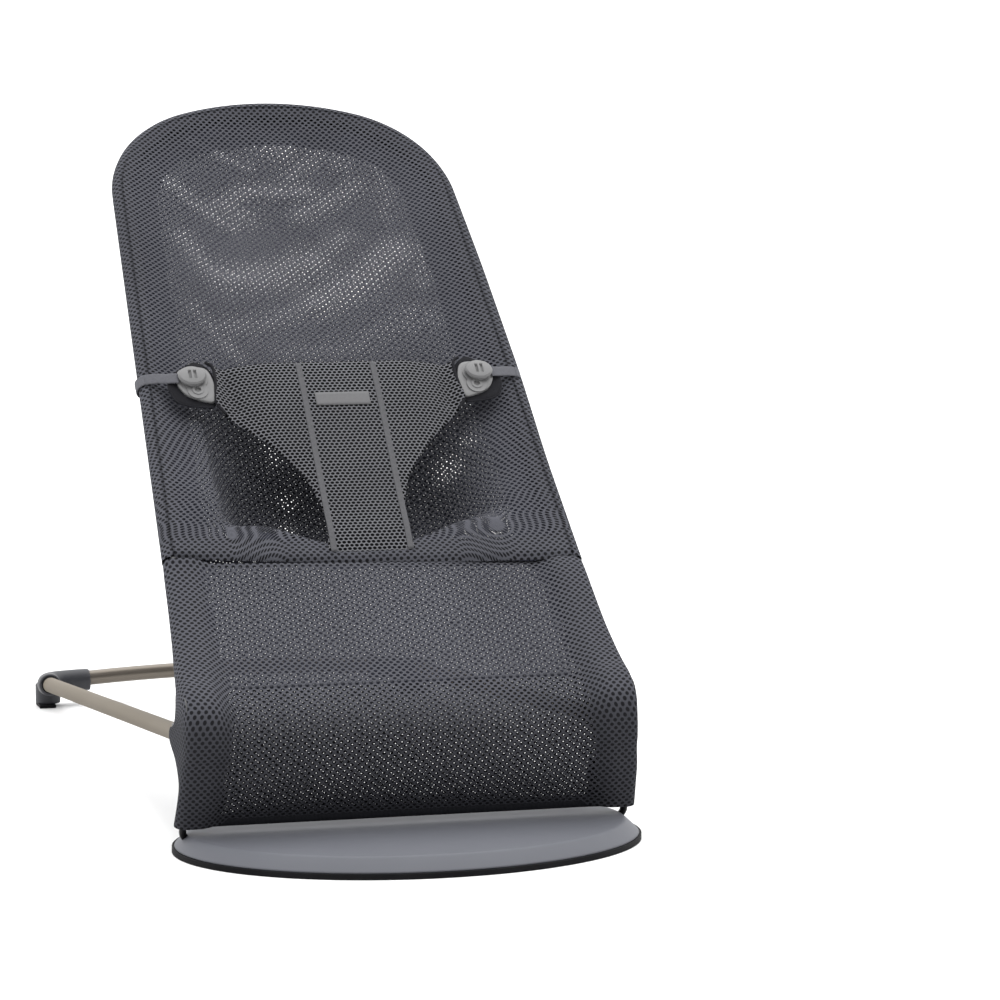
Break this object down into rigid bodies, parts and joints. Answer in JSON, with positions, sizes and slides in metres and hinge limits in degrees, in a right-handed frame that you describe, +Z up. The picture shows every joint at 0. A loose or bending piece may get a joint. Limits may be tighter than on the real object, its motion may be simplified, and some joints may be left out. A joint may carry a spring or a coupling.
{
  "type": "bouncer seat",
  "caption": "Folding baby bouncer: open-mesh fabric seat on a tubular hoop frame, hinged over a sprung foot plate and U-shaped floor tube, with a T-shaped harness.",
  "frame": {"origin": "on the floor, at the middle of the bounding box", "axes": "+X across the seat, -Y front (foot plate), +Y rear (floor tube), +Z up"},
  "size_m": [0.3922, 0.812, 0.5889],
  "materials": {
    "pad_rubber": "matte black rubber",
    "plate_plastic": "fine-textured blue-grey moulded plastic",
    "black_plastic": "moulded black plastic",
    "spring_steel": "black coated spring steel",
    "steel_fastener": "zinc plated steel",
    "frame_tube": "satin champagne tube",
    "elbow_plastic": "soft-touch dark grey plastic",
    "rail_paint": "black painted tube",
    "mesh_fabric": "anthracite open polyester mesh",
    "binding_tape": "woven polyester tape",
    "harness_mesh": "anthracite spacer mesh",
    "label_fabric": "blank woven label",
    "elastic_strap": "woven elastic webbing",
    "buckle_plastic": "satin grey moulded plastic"
  },
  "bodies": {
    "base": {"non_slip_pad": "pad_rubber", "base_plate_bottom": "plate_plastic", "base_plate": "plate_plastic", "clamp_screws": "steel_fastener", "rear_cross_tube": "frame_tube", "housing_fasteners": "steel_fastener", "hem_panel": "mesh_fabric", "hem_band": "binding_tape", "wire_clamp_left": "black_plastic", "wire_clamp_right": "black_plastic", "spring_wire_left": "spring_steel", "spring_wire_right": "spring_steel", "floor_leg_left": "frame_tube", "floor_leg_right": "frame_tube", "elbow_foot_left": "elbow_plastic", "elbow_foot_right": "elbow_plastic", "foot_grip_left": "pad_rubber", "foot_grip_right": "pad_rubber", "hinge_housing_inner_left": "black_plastic", "hinge_housing_inner_right": "black_plastic", "hinge_housing_outer_left": "black_plastic", "hinge_housing_outer_right": "black_plastic", "hinge_pin_left": "steel_fastener", "hinge_pin_right": "steel_fastener", "wave_washer_left": "spring_steel", "wave_washer_right": "spring_steel", "detent_spring_left": "spring_steel", "detent_spring_right": "spring_steel", "wire_sleeve_left": "mesh_fabric", "wire_sleeve_right": "mesh_fabric"},
    "hub": {"recline_hub_left": "black_plastic", "recline_hub_right": "black_plastic", "bounce_bush_left": "pad_rubber", "bounce_bush_right": "pad_rubber"},
    "seat": {"back_panel": "mesh_fabric", "front_piping": "binding_tape", "harness_label": "label_fabric", "harness_panel": "harness_mesh", "harness_ribbon_left": "binding_tape", "harness_ribbon_right": "binding_tape", "head_hoop": "rail_paint", "hoop_sleeve": "mesh_fabric", "keyhole_plate_left": "buckle_plastic", "keyhole_plate_right": "buckle_plastic", "leg_panel": "mesh_fabric", "panel_lining": "mesh_fabric", "rail_end_left": "black_plastic", "rail_end_right": "black_plastic", "rail_sleeve_left": "mesh_fabric", "rail_sleeve_right": "mesh_fabric", "rail_spigot_left": "steel_fastener", "rail_spigot_right": "steel_fastener", "seat_pocket": "mesh_fabric", "seat_rail_left": "rail_paint", "seat_rail_right": "rail_paint", "side_strap_left": "elastic_strap", "side_strap_right": "elastic_strap"},
    "button_left": {"harness_button_left": "buckle_plastic"},
    "button_right": {"harness_button_right": "buckle_plastic"}
  },
  "joints": [
    {"name": "recline", "type": "hinge", "parent": "base", "child": "hub", "pos_m": [0, -0.282, 0.112], "axis": [1, 0, 0], "range_deg": [-42, 0]},
    {"name": "bounce", "type": "hinge", "parent": "hub", "child": "seat", "pos_m": [0, -0.282, 0.112], "axis": [1, 0, 0], "range_deg": [-3, 3], "stiffness_Nm_per_rad": 230},
    {"name": "button_slide_left", "type": "slide", "parent": "seat", "child": "button_left", "axis": [1, 0, 0], "range_m": [0, 0.007], "stiffness_N_per_m": 400, "springref_m": -0.004},
    {"name": "button_slide_right", "type": "slide", "parent": "seat", "child": "button_right", "axis": [-1, 0, 0], "range_m": [0, 0.007], "stiffness_N_per_m": 400, "springref_m": -0.004}
  ]
}
